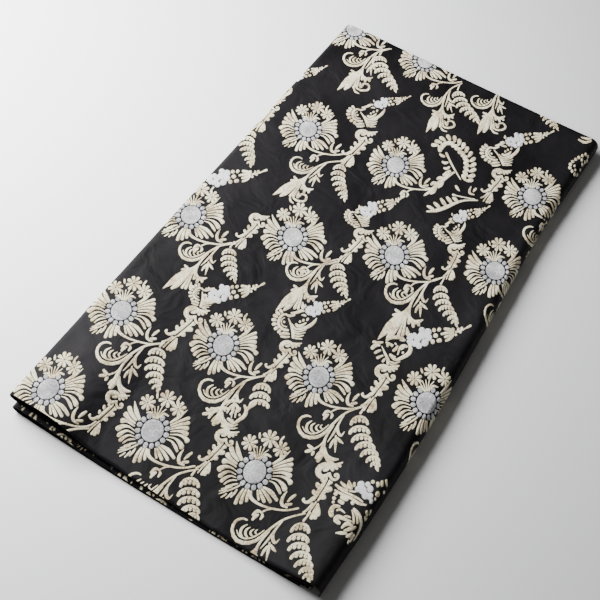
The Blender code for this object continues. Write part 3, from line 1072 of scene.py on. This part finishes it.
def lay_on_cloth(flat):
    """Places on the face of the folded cloth for flat places with a height."""
    columns = np.interp(CLOTH_START - flat[:, 0], FLAT_STEPS, np.arange(len(FLAT_STEPS)))
    rows = np.clip(flat[:, 1] / CLOTH_LENGTH, 0, 1) * LENGTH_STEPS
    left = np.minimum(columns.astype(int), len(FLAT_STEPS) - 2)
    near = np.minimum(rows.astype(int), LENGTH_STEPS - 1)
    across = (columns - left)[:, None]
    along = (rows - near)[:, None]

    def between(grid):
        return mix(
            mix(grid[near, left], grid[near, left + 1], across),
            mix(grid[near + 1, left], grid[near + 1, left + 1], across),
            along,
        )

    normal = between(NORMALS)
    normal /= np.linalg.norm(normal, axis=1, keepdims=True)
    height = flat[:, 2:3]
    under = CLOTH_START - flat[:, 0:1] > CLOTH_WIDTH - STRETCHES[-1][1]
    height = np.where(under & (height > 0), height * UNDERSIDE_FLATTENED, height)
    return between(FOLDED) + normal * (SHEET / 2 + height)


def finish_figures(name, meshes, material):
    """One piece of thread from several flat meshes, laid on the cloth."""
    joined = bmesh.new()
    for mesh in meshes:
        clip_to_cloth(mesh)
        joined.from_mesh(mesh)
        bpy.data.meshes.remove(mesh)
    flat_mesh = bpy.data.meshes.new(name)
    joined.to_mesh(flat_mesh)
    joined.free()
    flat = np.zeros(len(flat_mesh.vertices) * 3)
    flat_mesh.vertices.foreach_get("co", flat)
    flat = flat.reshape(-1, 3)
    add_flat_map(flat_mesh, flat[:, :2])
    flat_mesh.vertices.foreach_set("co", lay_on_cloth(flat).ravel())
    flat_mesh.update()
    return new_piece(name, flat_mesh, material)


def hidden_places(low_u, high_u):
    """Regular places of the flower on the folded-in layers."""
    places = []
    start_u, start_t = REPEAT_START
    for row, t in enumerate(np.arange(start_t, CLOTH_LENGTH * 1000 + start_t, REPEAT_ALONG)):
        first_u = high_u + start_u + (row % 2) * REPEAT_SHIFT
        for u in np.arange(first_u, low_u, -REPEAT_ACROSS):
            places.append((u, t + (u - high_u) * REPEAT_LEAN, 0, 1.0))
    return places


def moved(places, step):
    """The same places, moved by a step across and along."""
    return [(u + step[0], t + step[1], turn, size) for u, t, turn, size in places]


# The finishes. A ramp has places on it and their colours, from dark to light.
# Lines and noises are counted over a metre, and bumps are in metres.
# Charcoal ground colour, whose lighter end gives clouds of painted sheen
GROUND_TONE_AND_SHEEN_STOPS = ((0.32, (0.0036, 0.0032, 0.0037)), (0.70, (0.0122, 0.0112, 0.0128)))
GOLD_STOPS = ((0.36, (0.25, 0.16, 0.07)), (0.45, (0.64, 0.50, 0.265)), (0.54, (1.0, 0.915, 0.625)))
SILVER_STOPS = ((0.38, (0.17, 0.17, 0.185)), (0.51, (0.41, 0.41, 0.43)), (0.63, (0.82, 0.82, 0.845)))
# Painted shade: near-black colours that darken each stroke of thread towards its rim, in place of the
# shade in the dips and gaps between raised strokes
GOLD_EDGE_SHADE = (0.012, 0.008, 0.004, 1.0)
SILVER_EDGE_SHADE = (0.010, 0.010, 0.011, 1.0)
WHITE_THREAD = (0.97, 0.97, 0.97, 1.0)
GROUND_WEAVE = {"Lines per metre": 1500.0, "Turn": 0.0, "Cloud size": 9.0}
THREAD_WEAVE = {"Lines per metre": 1300.0, "Turn": math.radians(12), "Cloud size": 620.0}
CRUMPLE = {"Scale": 34.0, "Detail": 3.0, "Distortion": 0.8}
CRUMPLE_BUMP = {"Strength": 1.0, "Distance": 0.0026}
GROUND_BUMP = {"Strength": 0.25, "Distance": 0.00012}
GROUND_ROUGHNESS = {"To Min": 0.46, "To Max": 0.62}
PATCHES = {"Scale": 80.0, "Detail": 2.0}
CLOUD_SHARE = 0.58
PATCH_SHARE = 0.42
# Where the painted rim shade fades out along the crown mask
RIM_SHADE_RANGE = {"From Min": 0.2, "From Max": 0.7}
WHITE_RANGE = {"From Min": 1.1, "From Max": 1.7, "To Max": 0.6}
THREAD_BUMP = {"Strength": 0.6, "Distance": 0.00026}
THREAD_SHINE = {"Roughness": 0.42, "Specular IOR Level": 0.8, "IOR": 1.9}


def weave_group():
    """Fine crosswise threads: their height, and a mask of uneven lustre."""
    group = bpy.data.node_groups.new("thread_lines", "ShaderNodeTree")
    add_sockets(group, "INPUT", {"Lines per metre": "Float", "Turn": "Float", "Cloud size": "Float"})
    add_sockets(group, "OUTPUT", {"Height": "Float", "Cloud": "Float"})
    nodes = group.nodes
    given = nodes.new("NodeGroupInput")
    result = nodes.new("NodeGroupOutput")
    place = add_node(nodes, "ShaderNodeUVMap", uv_map="flat")
    turned = add_node(nodes, "ShaderNodeVectorRotate", rotation_type="Z_AXIS")
    lines = add_node(
        nodes, "ShaderNodeTexWave", {"Distortion": 1.6, "Detail": 2.0, "Detail Scale": 0.4},
        wave_type="BANDS", bands_direction="Y",
    )
    cloud = add_node(nodes, "ShaderNodeTexNoise", {"Detail": 4.0, "Roughness": 0.6})
    join_nodes(
        group.links,
        (place, "UV", turned, "Vector"),
        (given, "Turn", turned, "Angle"),
        (turned, "Vector", lines, "Vector"),
        (given, "Lines per metre", lines, "Scale"),
        (place, "UV", cloud, "Vector"),
        (given, "Cloud size", cloud, "Scale"),
        (lines, "Fac", result, "Height"),
        (cloud, "Fac", result, "Cloud"),
    )
    return group


def new_material(name, shine):
    """A material with its shader's fixed values, and its nodes and links."""
    material = bpy.data.materials.new(name)
    material.use_nodes = True
    shader = material.node_tree.nodes["Principled BSDF"]
    set_inputs(shader, shine)
    return material, material.node_tree.nodes, material.node_tree.links, shader


def add_ramp(nodes, stops):
    """A colour ramp with the given places and colours."""
    ramp = nodes.new("ShaderNodeValToRGB")
    elements = ramp.color_ramp.elements
    while len(elements) < len(stops):
        elements.new(0.5)
    for element, (place, colour) in zip(elements, stops):
        element.position = place
        element.color = (*colour, 1.0)
    return ramp


def silk_ground(group):
    """Dark satin ground: charcoal, a little violet, with a soft uneven sheen; the lighter clouds in its
    colour are painted sheen.
    """
    material, nodes, links, shader = new_material("silk_ground", {"Specular IOR Level": 0.07})
    weave = add_node(nodes, "ShaderNodeGroup", node_tree=group)
    set_inputs(weave, GROUND_WEAVE)
    # Painted sheen: lighter clouds in the ground's colour, over its charcoal tone
    colour = add_ramp(nodes, GROUND_TONE_AND_SHEEN_STOPS)
    rough = add_node(nodes, "ShaderNodeMapRange", GROUND_ROUGHNESS)
    place = add_node(nodes, "ShaderNodeUVMap", uv_map="flat")
    crumple = add_node(nodes, "ShaderNodeTexNoise", CRUMPLE)
    folds = add_node(nodes, "ShaderNodeBump", CRUMPLE_BUMP)
    bump = add_node(nodes, "ShaderNodeBump", GROUND_BUMP)
    join_nodes(
        links,
        (place, "UV", crumple, "Vector"),
        (crumple, "Fac", folds, "Height"),
        (folds, "Normal", bump, "Normal"),
        (weave, "Cloud", colour, "Fac"),
        (colour, "Color", shader, "Base Color"),
        (weave, "Cloud", rough, "Value"),
        (rough, "Result", shader, "Roughness"),
        (weave, "Height", bump, "Height"),
        (bump, "Normal", shader, "Normal"),
    )
    return material


def thread_material(name, group, stops, edge_shade_colour):
    """Raised metal-wrapped thread: mottled, with painted shade that darkens each stroke towards its rim,
    where it dips into the ground.
    """
    material, nodes, links, shader = new_material(name, THREAD_SHINE)
    weave = add_node(nodes, "ShaderNodeGroup", node_tree=group)
    set_inputs(weave, THREAD_WEAVE)
    colour = add_ramp(nodes, stops)
    place = add_node(nodes, "ShaderNodeUVMap", uv_map="flat")
    patches = add_node(nodes, "ShaderNodeTexNoise", PATCHES)
    shifted = add_node(nodes, "ShaderNodeMath", {1: PATCH_SHARE}, operation="MULTIPLY")
    mixed = add_node(nodes, "ShaderNodeMath", {1: CLOUD_SHARE}, operation="MULTIPLY_ADD")
    crown = add_node(nodes, "ShaderNodeAttribute", attribute_name="crown")
    # Painted shade: the thread is darkened towards each stroke's rim
    rim = add_node(nodes, "ShaderNodeMapRange", RIM_SHADE_RANGE)
    white = add_node(nodes, "ShaderNodeMapRange", WHITE_RANGE)
    lighter = add_node(nodes, "ShaderNodeMix", data_type="RGBA")
    set_inputs(lighter, {"B": WHITE_THREAD})
    rim_shaded = add_node(nodes, "ShaderNodeMix", data_type="RGBA")
    set_inputs(rim_shaded, {"A": edge_shade_colour})
    bump = add_node(nodes, "ShaderNodeBump", THREAD_BUMP)
    join_nodes(
        links,
        (place, "UV", patches, "Vector"),
        (patches, "Fac", shifted, 0),
        (weave, "Cloud", mixed, 0),
        (shifted, "Value", mixed, 2),
        (mixed, "Value", colour, "Fac"),
        (crown, "Fac", rim, "Value"),
        (rim, "Result", rim_shaded, "Factor"),
        (crown, "Fac", white, "Value"),
        (white, "Result", lighter, "Factor"),
        (colour, "Color", lighter, "A"),
        (lighter, "Result", rim_shaded, "B"),
        (rim_shaded, "Result", shader, "Base Color"),
        (weave, "Height", bump, "Height"),
        (bump, "Normal", shader, "Normal"),
    )
    return material


# The plain pale floor, and the soft studio light from the cloth's left
FLOOR_HALF = 6.0
FLOOR_LOOK = {"Base Color": (0.75, 0.755, 0.76, 1.0), "Roughness": 0.8}
STUDIO = {"Color": (1.0, 0.98, 0.95, 1.0), "Strength": 0.10}
KEY_PLACE = Vector((-0.62, -0.02, 0.48))
KEY_AIM = Vector((-0.42, 0.05, 0.0))
KEY_SIZE = 0.55
KEY_POWER = 30.0


def build_floor():
    """A plain pale surface under the cloth."""
    material = new_material("pale_floor", FLOOR_LOOK)[0]
    corners = [(x * FLOOR_HALF, y * FLOOR_HALF, 0.0) for x, y in ((-1, -1), (1, -1), (1, 1), (-1, 1))]
    mesh = bpy.data.meshes.new("floor")
    mesh.from_pydata(corners, [], [(0, 1, 2, 3)])
    new_piece("floor", mesh, material)


def build_light():
    """The soft light, and the little that comes from all around."""
    world = bpy.data.worlds.new("studio")
    world.use_nodes = True
    set_inputs(world.node_tree.nodes["Background"], STUDIO)
    bpy.context.scene.world = world
    data = bpy.data.lights.new("key_light", "AREA")
    data.size = KEY_SIZE
    data.energy = KEY_POWER
    light = new_object("key_light", data)
    light.location = KEY_PLACE
    light.rotation_euler = (KEY_AIM - KEY_PLACE).to_track_quat("-Z", "Y").to_euler()


# The camera, from the photograph's lines: where it looks, from which side and
# how high, how far away it is, and how it is turned about its own axis
CAMERA_TARGET = (-0.0075, -0.0429, 0.0)
CAMERA_AZIMUTH = math.radians(28.1267)
CAMERA_ELEVATION = math.radians(56.259)
CAMERA_ROLL = math.radians(4.6553)
CAMERA_DISTANCE = 0.8884
CAMERA_LENS = 63.66
CAMERA_SENSOR = 36.0


def build_camera():
    """The camera at the photograph's viewing angle."""
    azimuth, elevation = CAMERA_AZIMUTH, CAMERA_ELEVATION
    back = Vector((
        math.sin(azimuth) * math.cos(elevation),
        -math.cos(azimuth) * math.cos(elevation),
        math.sin(elevation),
    ))
    level = Vector((math.cos(azimuth), math.sin(azimuth), 0.0))
    upright = back.cross(level)
    right = level * math.cos(CAMERA_ROLL) + upright * math.sin(CAMERA_ROLL)
    up = back.cross(right)
    eye = Vector(CAMERA_TARGET) + back * CAMERA_DISTANCE
    data = bpy.data.cameras.new("camera")
    data.lens = CAMERA_LENS
    data.sensor_width = CAMERA_SENSOR
    camera = new_object("camera", data)
    columns = Matrix((right, up, back)).transposed().to_4x4()
    camera.matrix_world = Matrix.Translation(eye) @ columns
    bpy.context.scene.camera = camera


def build_thread(gold, silver):
    """All woven figures: the top layer as placed, the others by the repeat."""
    tree = figure_tree()
    second_start = CLOTH_START - sum(width for name, width, steps in STRETCHES[:3])
    flowers_below = hidden_places((CLOTH_START - CLOTH_WIDTH) * 1000, second_start * 1000)
    nodes_below = moved(flowers_below, NODE_FROM_FLOWER)
    sprays_below = moved(nodes_below, SPRAY_FROM_NODE)
    cone = cone_gold(CONE_TIERS, CONE_TIP)
    branch = BRANCH + COMB_TEETH
    gold_top = (
        ("vine", VINE, VINES),
        ("closed_scroll", CLOSED_SCROLL, CLOSED_SCROLLS),
        ("open_scroll", OPEN_SCROLL, OPEN_SCROLLS),
        ("cone", cone, CONES),
        ("short_cone", cone_gold(SHORT_CONE_TIERS, SHORT_CONE_TIP), SHORT_CONES),
        ("cone_top", cone_gold(SHORT_CONE_TIERS[:3], CONE_TOP_LEAF), CONE_TOPS),
        ("spray", SPRAY, SPRAYS),
        ("branch", branch, TULIP_BRANCHES + HOOK_BRANCHES),
        ("tulip_end", TULIP_END, TULIP_BRANCHES),
        ("tulip_curl", TULIP_CURL, TULIP_CURLS),
        ("hook_end", HOOK_END, HOOK_BRANCHES),
        ("crescent", crescent_gold(), CRESCENTS),
        ("roll_cluster", ROLL_CLUSTER, ROLL_CLUSTERS),
        ("corner", discs(CORNER_LEAVES) + list(CORNER_LEAF), CORNERS),
        ("stitch", STITCH, stitch_places()),
    )
    gold_folded = (
        ("flower", flower_gold(), flowers_below),
        ("vine", VINE, nodes_below),
        ("closed_scroll", CLOSED_SCROLL, moved(nodes_below, SCROLL_FROM_NODE)),
        ("cone", cone, moved(nodes_below, CONE_FROM_NODE)),
        ("spray", SPRAY, sprays_below),
        ("branch", branch, nodes_below),
        ("tulip_end", TULIP_END, nodes_below),
    )
    silver_top = (
        ("flower_middle", flower_silver(), FLOWERS),
        ("rosette", rosette_silver(), SPRAYS),
        ("roll_cluster_silver", discs(ROLL_CLUSTER_SILVER), ROLL_CLUSTERS),
    )
    silver_folded = (
        ("flower_middle", flower_silver(), flowers_below),
        ("rosette", rosette_silver(), sprays_below),
    )
    pieces = []
    for name, material, fine, kinds in (
        ("gold_thread_flowers", gold, True, (("flower", flower_gold(), FLOWERS),)),
        ("gold_thread_vines", gold, True, gold_top),
        ("gold_thread_folded", gold, False, gold_folded),
        ("silver_thread_top", silver, True, silver_top),
        ("silver_thread_folded", silver, False, silver_folded),
    ):
        made = []
        for kind, rows, places in kinds:
            figure = figure_mesh(kind, rows, fine, GOLD_WIDTHS if material == gold else 1.0)
            made.append(place_figures(tree, kind, figure, places, material))
        pieces.append(finish_figures(name, made, material))
    return pieces


def build_scene():
    """The whole picture: cloth, thread, floor, light and camera."""
    group = weave_group()
    gold = thread_material("gold_thread", group, GOLD_STOPS, GOLD_EDGE_SHADE)
    silver = thread_material("silver_thread", group, SILVER_STOPS, SILVER_EDGE_SHADE)
    sheet = build_sheet(silk_ground(group))
    thread = build_thread(gold, silver)
    build_floor()
    build_light()
    build_camera()
    for piece in [sheet] + thread:
        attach(piece, "root")
        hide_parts("brocade_cloth")


build_scene()
